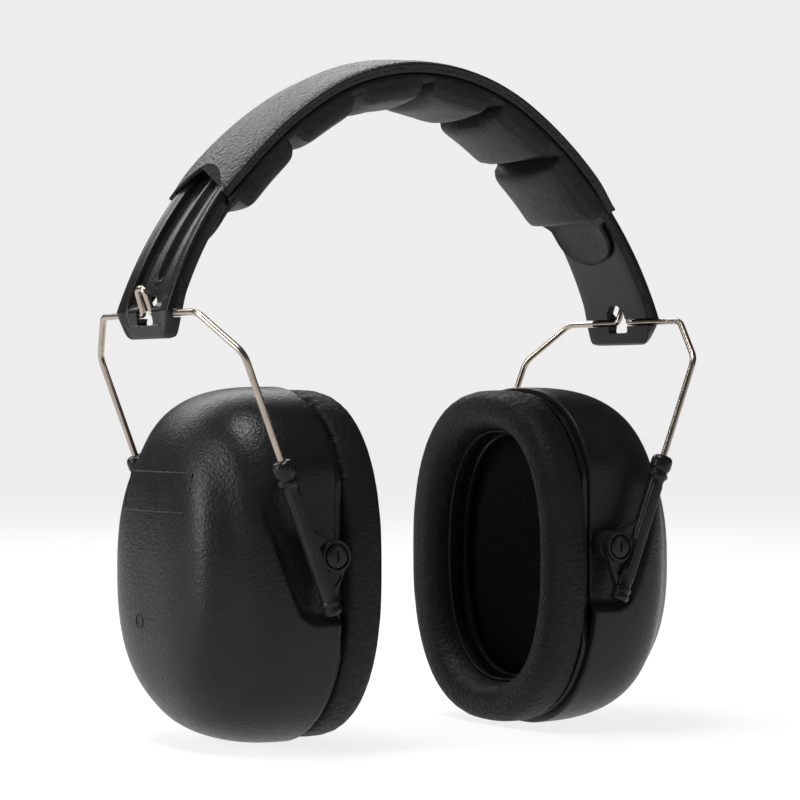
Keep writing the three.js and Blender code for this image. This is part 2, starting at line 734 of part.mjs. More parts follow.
function earSide(sideName) {
  const group = new THREE.Group();
  const add = (name, geometry, material) => group.add(piece(`${name}_${sideName}`, geometry, material));
  add('yoke_wire', yokeWire(), STEEL());
  for (const [faceName, face] of [['front', -1], ['rear', 1]]) {
    add(`arm_${faceName}`, arm(face), GLOSS_PLASTIC());
    add(`pivot_pin_${faceName}`, pivotPin(face), GLOSS_PLASTIC());
  }
  add('cup_shell', cupShell(), GRAINED_PLASTIC());
  add('seal_plate', sealPlate(), GLOSS_PLASTIC());
  add('cushion_cover', cushionCover(), LEATHERETTE());
  add('cushion_foam', cushionFoam(), FOAM());
  add('damping_foam', dampingFoam(), FOAM());
  return group;
}

const group = new THREE.Group();
group.add(headband());

const right = earSide('right');
group.add(right);

const left = earSide('left');
left.scale.x = -1;
group.add(left);

const bounds = new THREE.Box3().setFromObject(group, true);
group.position.z = -bounds.min.z;

export default group;
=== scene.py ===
"""The looks of an over-the-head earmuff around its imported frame.

Shapes are worked out in millimetres for the right side, with heights measured from the wire hinge, and
turned into the row frame's metres at the end. The left side is the mirror image of the right.
"""
import json
import math

import bmesh
import bpy
import numpy as np
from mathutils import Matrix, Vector


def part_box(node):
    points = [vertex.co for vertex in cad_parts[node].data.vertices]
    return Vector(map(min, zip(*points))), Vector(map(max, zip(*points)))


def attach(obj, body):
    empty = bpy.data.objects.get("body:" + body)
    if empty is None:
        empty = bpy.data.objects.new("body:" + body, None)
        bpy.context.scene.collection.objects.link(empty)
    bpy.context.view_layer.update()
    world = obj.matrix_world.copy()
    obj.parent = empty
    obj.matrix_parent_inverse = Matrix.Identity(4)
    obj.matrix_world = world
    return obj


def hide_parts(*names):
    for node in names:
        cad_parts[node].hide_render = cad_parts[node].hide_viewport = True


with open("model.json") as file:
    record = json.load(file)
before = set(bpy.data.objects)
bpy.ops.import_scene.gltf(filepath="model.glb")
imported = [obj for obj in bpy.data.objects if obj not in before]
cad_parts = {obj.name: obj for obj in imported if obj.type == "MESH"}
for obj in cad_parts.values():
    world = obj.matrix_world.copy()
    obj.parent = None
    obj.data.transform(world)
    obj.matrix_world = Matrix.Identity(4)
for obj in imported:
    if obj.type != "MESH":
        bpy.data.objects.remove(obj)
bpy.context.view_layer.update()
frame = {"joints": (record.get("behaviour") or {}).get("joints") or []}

MILLIMETRES = 1000.0
SIDES = (("right", 1), ("left", -1))
FACES = (("front", -1), ("rear", 1))

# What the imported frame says

JOINTS = {joint["name"]: joint for joint in frame["joints"]}
HINGE_X, _, LIFT = (value * MILLIMETRES for value in JOINTS["fold_right"]["pos_m"])
PIVOT_X = JOINTS["tilt_right"]["pos_m"][0] * MILLIMETRES
PIVOT_Z = JOINTS["tilt_right"]["pos_m"][2] * MILLIMETRES - LIFT
LEG_DOWN = -np.array(JOINTS["size_right"]["axis"], float)


def reach(node, axis):
    """(lowest, highest) value of a CAD node along one axis, in millimetres, heights from the hinge."""
    low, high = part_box(node)
    shift = LIFT if axis == 2 else 0
    return low[axis] * MILLIMETRES - shift, high[axis] * MILLIMETRES - shift


# Driving dimensions that the frame's boxes don't give

GAP = 0.3

CROWN_RADIUS = 70
FLANK_RADIUS = 125
CROWN_END = math.radians(33)
TIP_SLOPE = math.radians(71.3)
STRIP_HALF_WIDTH = 15.2
TIP_HALF_WIDTH = reach("band_strip", 1)[1]
FLARE_START = 88
STRIP_THICKNESS = 4.4
TIP_THICKENING = 0.6
TIP_INNER_X = 84.4
TIP_OUTER_X = 87
TIP_BOTTOM_Z = reach("band_strip", 2)[0]
TIP_CORNER = 2.5
RIB_HEIGHT = 1.5
RIB_FADE_Z = (9.6, 11.8)

SLEEVE_HALF_WIDTH = reach("band_sleeve", 1)[1]
SLEEVE_THICKNESS = 1.3
SLEEVE_CREST = 2
SLEEVE_SIDE_DEPTH = 2.7
SLEEVE_REACH_MIDDLE = 75
SLEEVE_REACH_EDGE = 85

PADS_PER_SIDE = 3
PAD_LENGTH = 27.8
END_PAD_LENGTH = 29.9
PAD_FACE_DEPTH = 13.5
PAD_EDGE_RISE = 2.7
NOTCH_AT_BASE = 2.4
NOTCH_SPREAD = 2
LINING_DEPTH = 5.6
TONGUE_HALF_WIDTH = 13.5
TONGUE_LENGTH = 16

WIRE_RADIUS = 1
WIRE_SHOULDER_Y = 30
CRANK_HEIGHT = 7.8
CRANK_LEAN = math.radians(19)
CRANK_HALF_WIDTH = 2.4
CRANK_SPREAD = 0.4
LEG_Y = 46
LEG_TOP_X = 79.3
LEG_TOP_Z = -12.1
ARM_TOP_ALONG_LEG = 32.4
ARM_LENGTH = 46.9
WIRE_END_ALONG_LEG = 58

PLATE_INNER_Y = 44
PLATE_OUTER_Y = 46.2
EYE_RADIUS = 4.7
RIM_HEIGHT = 1.4
PIN_STEM_RADIUS = 2.2
PIN_HEAD_RADIUS = 3.4

CUP_CENTRE_Z = -74
CUP_HALF_WIDTH = 43
CUP_HALF_HEIGHT = 53
CUP_OUTLINE_POWER = 2.4
SEAM_X = reach("cup_shell_right", 0)[0]
CUP_DEPTH = 41.3
CUP_POLE_Z = -83
SHOULDER_POWER_TOP = 3.2
SHOULDER_POWER_BOTTOM = 2.8
CREST_CREASE = 0.045
CREST_SPREAD = 0.81
CREST_WIDTH = 0.1
SHELL_WALL = 2.5
POCKET_FLOOR_Y = 38.5
POCKET_TOP_Z = -40
POCKET_BOTTOM_Z = -87
POCKET_TOP_X = 76.5
POCKET_BOTTOM_X = 56
POCKET_EDGE = 0.45
POCKET_WALL_SLOPE = 1.5

SEAL_PLATE_X = reach("seal_plate_right", 0)
SEAM_GROOVE_DEPTH = 1.7
CUSHION_FACE_X, CUSHION_BACK_X = reach("cushion_cover_right", 0)
CUSHION_WIDTH = 14
DAMPING_FOAM_X = reach("damping_foam_right", 0)
DAMPING_FOAM_INSET = 10


# Shapes: each one is (points, faces) in millimetres

def ease(value, low, high):
    """0 below low, 1 above high, and smooth between them."""
    share = np.clip((value - low) / (high - low), 0, 1)
    return share * share * (3 - 2 * share)


def mix(a, b, share):
    return a + (b - a) * share


def loft(rings, closes=False):
    """A skin over rings that have the same number of points. Its ends are closed with flat faces."""
    count = len(rings[0])
    steps = len(rings) if closes else len(rings) - 1
    faces = []
    for step in range(steps):
        here = step * count
        there = ((step + 1) % len(rings)) * count
        for side in range(count):
            after = (side + 1) % count
            faces.append((here + side, here + after, there + after, there + side))
    if not closes:
        last = (len(rings) - 1) * count
        faces.append(tuple(reversed(range(count))))
        faces.append(tuple(last + side for side in range(count)))
    return np.concatenate(rings), faces


def lathe(profile, sides, closes=False):
    """Turns [radius, y] pairs about the Y axis. A profile that doesn't close starts and ends on the axis."""
    turns = np.linspace(0, 2 * math.pi, sides, endpoint=False)
    rings = [np.stack([r * np.cos(turns), np.full(sides, y), r * np.sin(turns)], -1) for r, y in profile]
    return loft(rings, closes)


def prism(outline, axis, low, high):
    """An outline of (u, v) pairs pushed along one axis. The pairs are the other two axes in X, Y, Z order."""
    def at(level):
        return np.array([np.insert(np.array(pair, float), axis, level) for pair in outline])
    return loft([at(low), at(high)])


def rounded(corners, radius, steps=5):
    """A closed outline with its corners rounded by arcs. The radius may be one for each corner."""
    radii = radius if hasattr(radius, "__len__") else [radius] * len(corners)
    points = []
    for index, corner in enumerate(corners):
        here = Vector(corner)
        back = (Vector(corners[index - 1]) - here).normalized()
        ahead = (Vector(corners[(index + 1) % len(corners)]) - here).normalized()
        half = back.angle(ahead) / 2
        start = back * (radii[index] / math.tan(half))
        end = ahead * (radii[index] / math.tan(half))
        centre = (back + ahead).normalized() * (radii[index] / math.sin(half))
        for step in range(steps + 1):
            arm = (start - centre).slerp(end - centre, step / steps)
            points.append(tuple(here + centre + arm))
    return points


def moved(shape, x=0, y=0, z=0):
    return shape[0] + np.array([x, y, z]), shape[1]


def mirrored(shape, x_sign=1, y_sign=1):
    return shape[0] * np.array([x_sign, y_sign, 1]), shape[1]


# Objects

def new_object(name, shape):
    """A Blender mesh in the row frame's metres, with its faces turned outward."""
    points = (shape[0] + np.array([0, 0, LIFT])) / MILLIMETRES
    mesh = bpy.data.meshes.new(name)
    mesh.from_pydata(points.tolist(), [], [list(map(int, face)) for face in shape[1]])
    work = bmesh.new()
    work.from_mesh(mesh)
    bmesh.ops.remove_doubles(work, verts=work.verts, dist=1e-7)
    bmesh.ops.recalc_face_normals(work, faces=work.faces)
    work.to_mesh(mesh)
    work.free()
    obj = bpy.data.objects.new(name, mesh)
    bpy.context.scene.collection.objects.link(obj)
    return obj


def bake_modifiers(obj):
    bpy.context.view_layer.update()
    depsgraph = bpy.context.evaluated_depsgraph_get()
    mesh = bpy.data.meshes.new_from_object(obj.evaluated_get(depsgraph))
    obj.modifiers.clear()
    obj.data = mesh
    return obj


def combine(obj, shape, operation="DIFFERENCE"):
    """Cuts a shape out of an object, or joins it on."""
    other = new_object("tool", shape)
    modifier = obj.modifiers.new("combine", "BOOLEAN")
    modifier.object = other
    modifier.operation = operation
    modifier.solver = "EXACT"
    bake_modifiers(obj)
    bpy.data.objects.remove(other)
    return obj


def bevel(obj, width, segments=2, angle=40):
    modifier = obj.modifiers.new("bevel", "BEVEL")
    modifier.width = width / MILLIMETRES
    modifier.segments = segments
    modifier.limit_method = "ANGLE"
    modifier.angle_limit = math.radians(angle)
    modifier.harden_normals = False
    return bake_modifiers(obj)


def copy_of(obj, name, x_sign=1, y_sign=1):
    """A mirrored copy of an object that lies in the row frame."""
    twin = obj.copy()
    twin.data = obj.data.copy()
    twin.name = name
    work = bmesh.new()
    work.from_mesh(twin.data)
    bmesh.ops.scale(work, vec=(x_sign, y_sign, 1), verts=work.verts)
    if x_sign * y_sign < 0:
        bmesh.ops.reverse_faces(work, faces=work.faces)
    work.to_mesh(twin.data)
    work.free()
    bpy.context.scene.collection.objects.link(twin)
    return twin


def inflate(obj, is_pinned, voxel, swell, pressure=4.0, frames=20):
    """Fills a closed skin with pressure by cloth simulation, which moves no point further than swell."""
    remesh = obj.modifiers.new("remesh", "REMESH")
    remesh.mode = "VOXEL"
    remesh.voxel_size = voxel / MILLIMETRES
    bake_modifiers(obj)
    rest = np.array([vertex.co for vertex in obj.data.vertices], float)
    group = obj.vertex_groups.new(name="held")
    held = np.nonzero(is_pinned(rest * MILLIMETRES - np.array([0, 0, LIFT])))[0]
    group.add([int(index) for index in held], 1.0, "REPLACE")
    cloth = obj.modifiers.new("cloth", "CLOTH")
    settings = cloth.settings
    settings.quality = 6
    settings.mass = 0.2
    settings.tension_stiffness = 12
    settings.compression_stiffness = 12
    settings.shear_stiffness = 4
    settings.bending_stiffness = 0.4
    settings.use_pressure = True
    settings.uniform_pressure_force = pressure
    settings.vertex_group_mass = "held"
    settings.effector_weights.gravity = 0
    scene = bpy.context.scene
    for number in range(1, frames + 1):
        scene.frame_set(number)
    bake_modifiers(obj)
    scene.frame_set(1)
    blown = np.array([vertex.co for vertex in obj.data.vertices], float)
    step = blown - rest
    length = np.linalg.norm(step, axis=1, keepdims=True)
    limit = swell / MILLIMETRES
    step *= np.minimum(1, limit / np.maximum(length, 1e-9))
    obj.data.vertices.foreach_set("co", (rest + step).ravel())
    smooth = obj.modifiers.new("smooth", "SMOOTH")
    smooth.factor = 0.5
    smooth.iterations = 4
    subdivide = obj.modifiers.new("subdivide", "SUBSURF")
    subdivide.levels = 1
    subdivide.render_levels = 1
    return bake_modifiers(obj)


# Materials

class Surface:
    """A principled material whose texture is laid out in object space, in millimetres."""

    def __init__(self, name, colour, roughness, metallic=0.0, specular=0.5):
        self.material = bpy.data.materials.new(name)
        self.material.use_nodes = True
        self.nodes = self.material.node_tree.nodes
        self.links = self.material.node_tree.links
        self.shader = self.nodes["Principled BSDF"]
        self.shader.inputs["Base Color"].default_value = (*colour, 1)
        self.shader.inputs["Roughness"].default_value = roughness
        self.shader.inputs["Metallic"].default_value = metallic
        self.shader.inputs["Specular IOR Level"].default_value = specular
        self.colour = colour
        coordinates = self.nodes.new("ShaderNodeTexCoord")
        self.place = coordinates.outputs["Object"]
        self.normal = None

    def stretched(self, stretch):
        mapping = self.nodes.new("ShaderNodeMapping")
        mapping.inputs["Scale"].default_value = stretch
        self.links.new(self.place, mapping.inputs["Vector"])
        return mapping.outputs["Vector"]

    def noise(self, size, detail=3.0, rough=0.55, stretch=(1, 1, 1), distortion=0.0):
        """Noise whose blotches are about size millimetres across."""
        node = self.nodes.new("ShaderNodeTexNoise")
        node.inputs["Scale"].default_value = MILLIMETRES / size
        node.inputs["Detail"].default_value = detail
        node.inputs["Roughness"].default_value = rough
        node.inputs["Distortion"].default_value = distortion
        self.links.new(self.stretched(stretch), node.inputs["Vector"])
        return node.outputs["Fac"]

    def cells(self, size, softness, stretch=(1, 1, 1)):
        """Pebbles about size millimetres across."""
        node = self.nodes.new("ShaderNodeTexVoronoi")
        node.feature = "SMOOTH_F1"
        node.inputs["Scale"].default_value = MILLIMETRES / size
        node.inputs["Smoothness"].default_value = softness
        self.links.new(self.stretched(stretch), node.inputs["Vector"])
        return node.outputs["Distance"]

    def ramp(self, value, low, high, low_value, high_value):
        node = self.nodes.new("ShaderNodeMapRange")
        node.inputs["From Min"].default_value = low
        node.inputs["From Max"].default_value = high
        node.inputs["To Min"].default_value = low_value
        node.inputs["To Max"].default_value = high_value
        self.links.new(value, node.inputs["Value"])
        return node.outputs["Result"]

    def tint(self, value, low, high, dark, light):
        """Colour that varies between two shares of the base colour."""
        node = self.nodes.new("ShaderNodeMix")
        node.data_type = "RGBA"
        node.inputs[6].default_value = (*[channel * dark for channel in self.colour], 1)
        node.inputs[7].default_value = (*[channel * light for channel in self.colour], 1)
        self.links.new(self.ramp(value, low, high, 0, 1), node.inputs[0])
        self.links.new(node.outputs[2], self.shader.inputs["Base Color"])
        return self

    def roughen(self, value, low, high, smooth, rough):
        self.links.new(self.ramp(value, low, high, smooth, rough), self.shader.inputs["Roughness"])
        return self

    def bump(self, value, height):
        """Relief of height millimetres, on top of any relief already there."""
        node = self.nodes.new("ShaderNodeBump")
        node.inputs["Strength"].default_value = 1.0
        node.inputs["Distance"].default_value = height / MILLIMETRES
        self.links.new(value, node.inputs["Height"])
        if self.normal is not None:
            self.links.new(self.normal, node.inputs["Normal"])
        self.normal = node.outputs["Normal"]
        self.links.new(self.normal, self.shader.inputs["Normal"])
        return self


def gloss_plastic():
    surface = Surface("gloss_plastic", (0.010, 0.0095, 0.0095), 0.26, specular=0.2)
    surface.roughen(surface.noise(2.5, 4), 0.3, 0.7, 0.24, 0.32)
    surface.bump(surface.noise(3.0, 2), 0.01)
    surface.bump(surface.noise(0.25, 2), 0.006)
    surface.tint(surface.noise(12, 2), 0.3, 0.7, 0.8, 1.25)
    return surface.material


def grained_plastic():
    surface = Surface("grained_plastic", (0.011, 0.0103, 0.0103), 0.36, specular=0.2)
    surface.roughen(surface.noise(1.6, 3), 0.3, 0.7, 0.3, 0.42)
    surface.bump(surface.cells(0.85, 0.8), 0.1)
    surface.bump(surface.noise(0.35, 3), 0.03)
    surface.tint(surface.noise(9, 3), 0.3, 0.7, 0.85, 1.2)
    return surface.material


def sleeve_leatherette():
    surface = Surface("leatherette", (0.013, 0.0122, 0.0122), 0.42, specular=0.25)
    grain = surface.cells(1.15, 0.35, stretch=(1, 1.25, 1))
    surface.roughen(grain, 0.1, 0.6, 0.3, 0.46)
    surface.bump(grain, 0.26)
    surface.bump(surface.noise(0.5, 4, 0.6, distortion=0.6), 0.12)
    surface.tint(surface.noise(14, 3), 0.3, 0.7, 0.8, 1.25)
    return surface.material


def pad_leatherette():
    surface = Surface("pad_leatherette", (0.012, 0.011, 0.011), 0.42, specular=0.25)
    lines = surface.noise(2.2, 3, 0.6, stretch=(0.75, 3.6, 0.75), distortion=0.7)
    surface.roughen(lines, 0.3, 0.7, 0.38, 0.56)
    surface.bump(lines, 0.32)
    surface.bump(surface.noise(0.5, 3), 0.06)
    surface.tint(surface.noise(11, 3), 0.3, 0.7, 0.8, 1.25)
    return surface.material


def cushion_leatherette():
    surface = Surface("cushion_leatherette", (0.010, 0.0093, 0.009), 0.48, specular=0.16)
    creases = surface.cells(1.7, 0.25, stretch=(1, 1, 1.2))
    surface.roughen(creases, 0.1, 0.6, 0.42, 0.6)
    surface.bump(creases, 0.22)
    surface.bump(surface.noise(0.9, 4, 0.65, distortion=1.0), 0.16)
    surface.tint(surface.noise(16, 3), 0.3, 0.7, 0.8, 1.2)
    return surface.material


def spring_steel():
    surface = Surface("spring_steel", (0.40, 0.345, 0.29), 0.26, metallic=1.0)
    surface.roughen(surface.noise(2.5, 2), 0.3, 0.7, 0.24, 0.32)
    surface.bump(surface.noise(1.8, 1), 0.002)
    surface.tint(surface.noise(6, 3), 0.3, 0.7, 0.85, 1.1)
    return surface.material


def open_foam():
    surface = Surface("foam", (0.004, 0.004, 0.004), 0.95, specular=0.08)
    surface.bump(surface.cells(1.1, 0.2), 0.5)
    surface.bump(surface.noise(0.5, 3), 0.2)
    # Painted shade: the colour follows the same cells as the bump, darker down in the pits and lighter on the
    # ridges between them.
    surface.tint(surface.cells(1.1, 0.2), 0.1, 0.6, 0.4, 1.3)
    return surface.material


MATERIALS = {
    "gloss_plastic": gloss_plastic(),
    "grained_plastic": grained_plastic(),
    "leatherette": sleeve_leatherette(),
    "pad_leatherette": pad_leatherette(),
    "cushion_leatherette": cushion_leatherette(),
    "spring_steel": spring_steel(),
    "foam": open_foam(),
}


def finish_piece(obj, body, slot, replaces, edge_angle):
    """Gives a piece its shading, material and place on a body, and hides the CAD nodes it stands for."""
    obj.data.polygons.foreach_set("use_smooth", [True] * len(obj.data.polygons))
    obj.data.set_sharp_from_angle(angle=math.radians(edge_angle))
    obj.data.materials.clear()
    obj.data.materials.append(MATERIALS[slot])
    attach(obj, body)
    if replaces:
        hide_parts(*replaces)


# Headband

CROWN_Z = 77
CROWN_ARC = CROWN_RADIUS * CROWN_END
TIP_ALONG = CROWN_ARC + FLANK_RADIUS * (TIP_SLOPE - CROWN_END)


def band_point(along, depth, across):
    """Points at a distance along the band from its crown, at a depth below its outer edge and across it."""
    along, depth, across = np.broadcast_arrays(np.asarray(along, float), depth, across)
    distance = np.abs(along)
    on_crown = distance < CROWN_ARC
    slope = np.where(on_crown, distance / CROWN_RADIUS, CROWN_END + (distance - CROWN_ARC) / FLANK_RADIUS)
    radius = np.where(on_crown, CROWN_RADIUS, FLANK_RADIUS)
    shift = np.where(on_crown, 0, FLANK_RADIUS - CROWN_RADIUS)
    x = (radius - depth) * np.sin(slope) - shift * math.sin(CROWN_END)
    z = (radius - depth) * np.cos(slope) + CROWN_Z - CROWN_RADIUS - shift * math.cos(CROWN_END)
    return np.stack([np.where(along < 0, -x, x), across, z], -1)


def flare_share(along):
    return np.clip((abs(along) - FLARE_START) / (TIP_ALONG - FLARE_START), 0, 1)


def rail_edge_at(flared):
    """Half the width of the channel between the limb's rails."""
    return mix(9.8, 10.6, flared)


def face_stations(width, flared):
    """Places across the limb's outer face, closest together where its relief turns."""
    rail_edge = rail_edge_at(flared)
    turns = [width, rail_edge + 1.6, rail_edge + 0.5, rail_edge - 0.5, 2.4, 0.5, 0]
    counts = [6, 4, 6, 8, 6, 2]
    spans = zip(turns, turns[1:], counts)
    half = [np.linspace(high, low, count, endpoint=False) for high, low, count in spans]
    half = np.concatenate(half)[1:]
    return np.concatenate([half, [0], -half[::-1]])


def limb_face(across, width, height, flared):
    """Depth of the limb's outer face below its rails: a channel with a middle rib, shallower by the wire."""
    out = np.abs(across)
    rail_edge = rail_edge_at(flared)
    floor = mix(0.9, mix(2.5, 2.1, flared), ease(height, 1.7, 4.2))
    rail = 0.45 * (1 - ease(out, rail_edge, width))
    depth = mix(rail, floor, 1 - ease(out, rail_edge - 0.5, rail_edge + 0.5))
    rib = (1 - ease(out, 0.5, 2.2)) * ease(height, *RIB_FADE_Z)
    depth = depth - rib * RIB_HEIGHT
    plain = 0.3 * (1 - ease(out, width - 2, width))
    return mix(plain, depth, ease(height, -3.4, -2.9))


def strip_section(width, thickness, height, flared):
    inner_round, outer_round = 0.5, 1.0
    quarter = np.radians(np.linspace(0, 90, 5))
    inner_across = width - inner_round + inner_round * np.sin(quarter)[1:]
    inner_depth = thickness - inner_round + inner_round * np.cos(quarter)[1:]
    outer_across = width - outer_round + outer_round * np.cos(quarter)
    outer_depth = outer_round - outer_round * np.sin(quarter)
    floor_across = np.linspace(inner_round - width, width - inner_round, 9)
    face_across = face_stations(width - outer_round, flared)
    face_depth = limb_face(face_across, width - outer_round, height, flared)
    side_across = np.concatenate([inner_across, outer_across])
    side_depth = np.concatenate([inner_depth, outer_depth])
    floor_depth = np.full(len(floor_across), thickness)
    across = np.concatenate([floor_across, side_across, face_across, -side_across[::-1]])
    depth = np.concatenate([floor_depth, side_depth, face_depth, side_depth[::-1]])
    return across, depth


def tip_rings():
    """Rings of the right end piece from the wire hinge's height down, with its lower corners cut back."""
    start_height = float(band_point(TIP_ALONG, 0, 0)[2])
    thickness = STRIP_THICKNESS + TIP_THICKENING
    rings = []
    for share in np.linspace(0.03, 1, 28):
        height = mix(start_height, TIP_BOTTOM_Z, share)
        across, depth = strip_section(TIP_HALF_WIDTH, thickness, height, 1)
        outwardness = 1 - depth / thickness
        across = across * (1 - share ** 1.3 * mix(0.1, 0.3, outwardness))
        above = max(0.0, TIP_CORNER - (1 - share) * (start_height - TIP_BOTTOM_Z))
        across = across * (1 - (TIP_CORNER - math.sqrt(TIP_CORNER ** 2 - above ** 2)) / TIP_HALF_WIDTH)
        rounding = ease(share, 0.88, 1) ** 2
        top = band_point(TIP_ALONG, depth, across)
        bottom_x = mix(TIP_INNER_X, TIP_OUTER_X, outwardness)
        bottom = np.stack([bottom_x, across, np.full(len(across), TIP_BOTTOM_Z)], -1)
        ring = mix(top, bottom, share)
        middle = ring.mean(0)
        shrink = np.array([1 - 0.35 * rounding, 1 - 0.05 * rounding, 1])
        rings.append(middle + (ring - middle) * shrink)
    return rings


def hinge_groove():
    radius = WIRE_RADIUS + 0.15
    half_turn = np.radians(np.linspace(-90, 90, 13))
    arc = [(radius * math.cos(turn), radius * math.sin(turn)) for turn in half_turn]
    outline = [(-8, -radius), *arc, (-8, radius)]
    reach_y = TIP_HALF_WIDTH + 2
    return moved(prism(outline, 1, -reach_y, reach_y), x=HINGE_X)


def window_cut():
    corners = [(-4.9, -3), (4.9, -3), (4.3, 3), (2, 5.2), (-2, 5.2), (-4.3, 3)]
    return prism(rounded(corners, 0.7, 4), 0, HINGE_X - 8, HINGE_X + 10)


def ejector_mark():
    """A fine round groove that an ejector pin leaves on the limb's front wall."""
    along = TIP_ALONG - 8
    wall = -mix(STRIP_HALF_WIDTH, TIP_HALF_WIDTH, flare_share(along))
    profile = [(1.7, wall - 1), (1.7, wall + 0.2), (1.45, wall + 0.2), (1.45, wall - 1)]
    x, _, z = band_point(along, STRIP_THICKNESS * 0.55, 0)
    return moved(lathe(profile, 32, closes=True), x=x, z=z)


def band_strip():
    rings = []
    alongs = np.concatenate([
        np.arange(-TIP_ALONG, -70, 0.6), np.linspace(-70, 70, 37), -np.arange(-TIP_ALONG, -70, 0.6)[::-1]])
    for along in alongs:
        flared = float(flare_share(along))
        width = mix(STRIP_HALF_WIDTH, TIP_HALF_WIDTH, flared)
        thickness = STRIP_THICKNESS + TIP_THICKENING * float(ease(abs(along), TIP_ALONG - 8, TIP_ALONG))
        height = float(band_point(along, 0, 0)[2])
        across, depth = strip_section(width, thickness, height, flared)
        rings.append(band_point(along, depth, across))
    tip = tip_rings()
    left_tip = [ring * np.array([-1, 1, 1]) for ring in tip]
    obj = new_object("band_strip_moulded", loft([*left_tip[::-1], *rings, *tip]))
    for _, sign in SIDES:
        combine(obj, mirrored(hinge_groove(), sign))
        combine(obj, mirrored(window_cut(), sign))
        combine(obj, mirrored(ejector_mark(), sign))
    finish_piece(obj, "headband", "gloss_plastic", ["band_strip"], 30)


def band_sleeve():
    """The leatherette skin over the strip: a soft crest, wrapped edges and a welded bead along each edge."""
    half = SLEEVE_HALF_WIDTH
    edge = -GAP
    across_top = np.linspace(-0.985, 0.985, 53) * half
    share = np.abs(across_top) / half
    roof = np.sqrt((1 - share) ** 2 + 0.02) - math.sqrt(0.02) * share
    crest = SLEEVE_CREST * mix(1 - share ** 2, roof, 0.85)
    shoulder = 0.6 * (1 - share ** 8)
    top_depth = edge - shoulder - crest
    under_across = np.linspace(0.9, -0.9, 31) * half
    under_depth = np.minimum(edge + 0.1, np.interp(under_across, across_top, top_depth) + SLEEVE_THICKNESS)
    inner = half - SLEEVE_THICKNESS
    bead = [(half - 0.1, edge + 0.1), (half + 0.3, edge + 0.35),
            (half + 0.35, edge + 0.75), (half - 0.05, edge + 1.1)]
    wall = [(half - 0.1, 1.6), (half - 0.15, 2.3), (half - 0.45, SLEEVE_SIDE_DEPTH)]
    inside = [(inner + 0.3, SLEEVE_SIDE_DEPTH), (inner, 2.2), (inner, 1.0)]
    right_side = bead + wall + inside
    left_side = [(-a, d) for a, d in reversed(right_side)]
    across = np.concatenate([across_top, [a for a, _ in right_side], under_across, [a for a, _ in left_side]])
    depth = np.concatenate([top_depth, [d for _, d in right_side], under_depth, [d for _, d in left_side]])
    edge_share = np.clip(np.abs(across) / half, 0, 1) ** 2.2
    reaches = mix(SLEEVE_REACH_MIDDLE, SLEEVE_REACH_EDGE, edge_share)
    rings = []
    stations = np.sin(np.linspace(-math.pi / 2, math.pi / 2, 131))
    for station in stations:
        lip = 0.1 * ease(abs(station), 0.985, 1)
        narrowed = across * (1 - 0.075 * ease(abs(station), 0.86, 1))
        rings.append(band_point(station * reaches, depth - lip, narrowed))
    obj = new_object("band_sleeve_skin", loft(rings))
    finish_piece(obj, "headband", "leatherette", ["band_sleeve"], 50)


def pad_boundary(count):
    inner = min(abs(count), PADS_PER_SIDE - 1) * PAD_LENGTH
    end = END_PAD_LENGTH if abs(count) == PADS_PER_SIDE else 0
    return math.copysign(inner + end, count)


def head_pad(index):
    """One lobe of the padded lining: filled by pressure, held where it meets the lining beside the strip."""
    start, end = pad_boundary(index - PADS_PER_SIDE), pad_boundary(index + 1 - PADS_PER_SIDE)
    middle = (start + end) / 2
    slack = 0.7
    half_width = SLEEVE_HALF_WIDTH - 0.4
    top = SLEEVE_SIDE_DEPTH + GAP
    seat = STRIP_THICKNESS + GAP
    corner = 2.2
    face_across = np.linspace(-(half_width - corner), half_width - corner, 13)
    face_depth = PAD_FACE_DEPTH - slack - PAD_EDGE_RISE * (face_across / half_width) ** 2
    low = face_depth[0]
    arc = np.radians(np.linspace(0, 90, 5))[1:]
    right = [(half_width - corner + corner * math.sin(t), low - corner + corner * math.cos(t)) for t in arc]
    seat_edge = STRIP_HALF_WIDTH + 1
    tail = [(half_width, top), (seat_edge, top), (seat_edge, seat)]
    half_loop = [*right, *tail]
    across = np.concatenate([face_across, [a for a, _ in half_loop], [-a for a, _ in reversed(half_loop)]])
    depth = np.concatenate([face_depth, [d for _, d in half_loop], [d for _, d in reversed(half_loop)]])
    half_length = (end - start - NOTCH_AT_BASE) / 2
    rings = []
    for share in np.sin(np.linspace(-math.pi / 2, math.pi / 2, 25)):
        sunk = np.clip((depth - top) / (PAD_FACE_DEPTH - top), 0, 1)
        length = half_length - NOTCH_SPREAD * sunk ** 1.5
        round_off = 2.6 * sunk * (1 - np.sqrt(1 - min(abs(share), 1) ** 6))
        rings.append(band_point(middle + share * length, depth - round_off, across))
    obj = new_object(f"head_pad_{index + 1}_lobe", loft(rings))

    def is_held(points):
        return band_depth(points) < LINING_DEPTH

    inflate(obj, is_held, voxel=1.1, swell=1.1)
    finish_piece(obj, "headband", "pad_leatherette", [f"head_pad_{index + 1}"], 70)


def band_depth(points):
    """How far points lie below the band's outer edge."""
    x, z = np.abs(points[:, 0]), points[:, 2]
    crown_z = CROWN_Z - CROWN_RADIUS
    flank_shift = FLANK_RADIUS - CROWN_RADIUS
    flank_x, flank_z = -flank_shift * math.sin(CROWN_END), crown_z - flank_shift * math.cos(CROWN_END)
    slope = np.arctan2(x, z - crown_z)
    on_crown = CROWN_RADIUS - np.hypot(x, z - crown_z)
    on_flank = FLANK_RADIUS - np.hypot(x - flank_x, z - flank_z)
    return np.where(slope < CROWN_END, on_crown, on_flank)


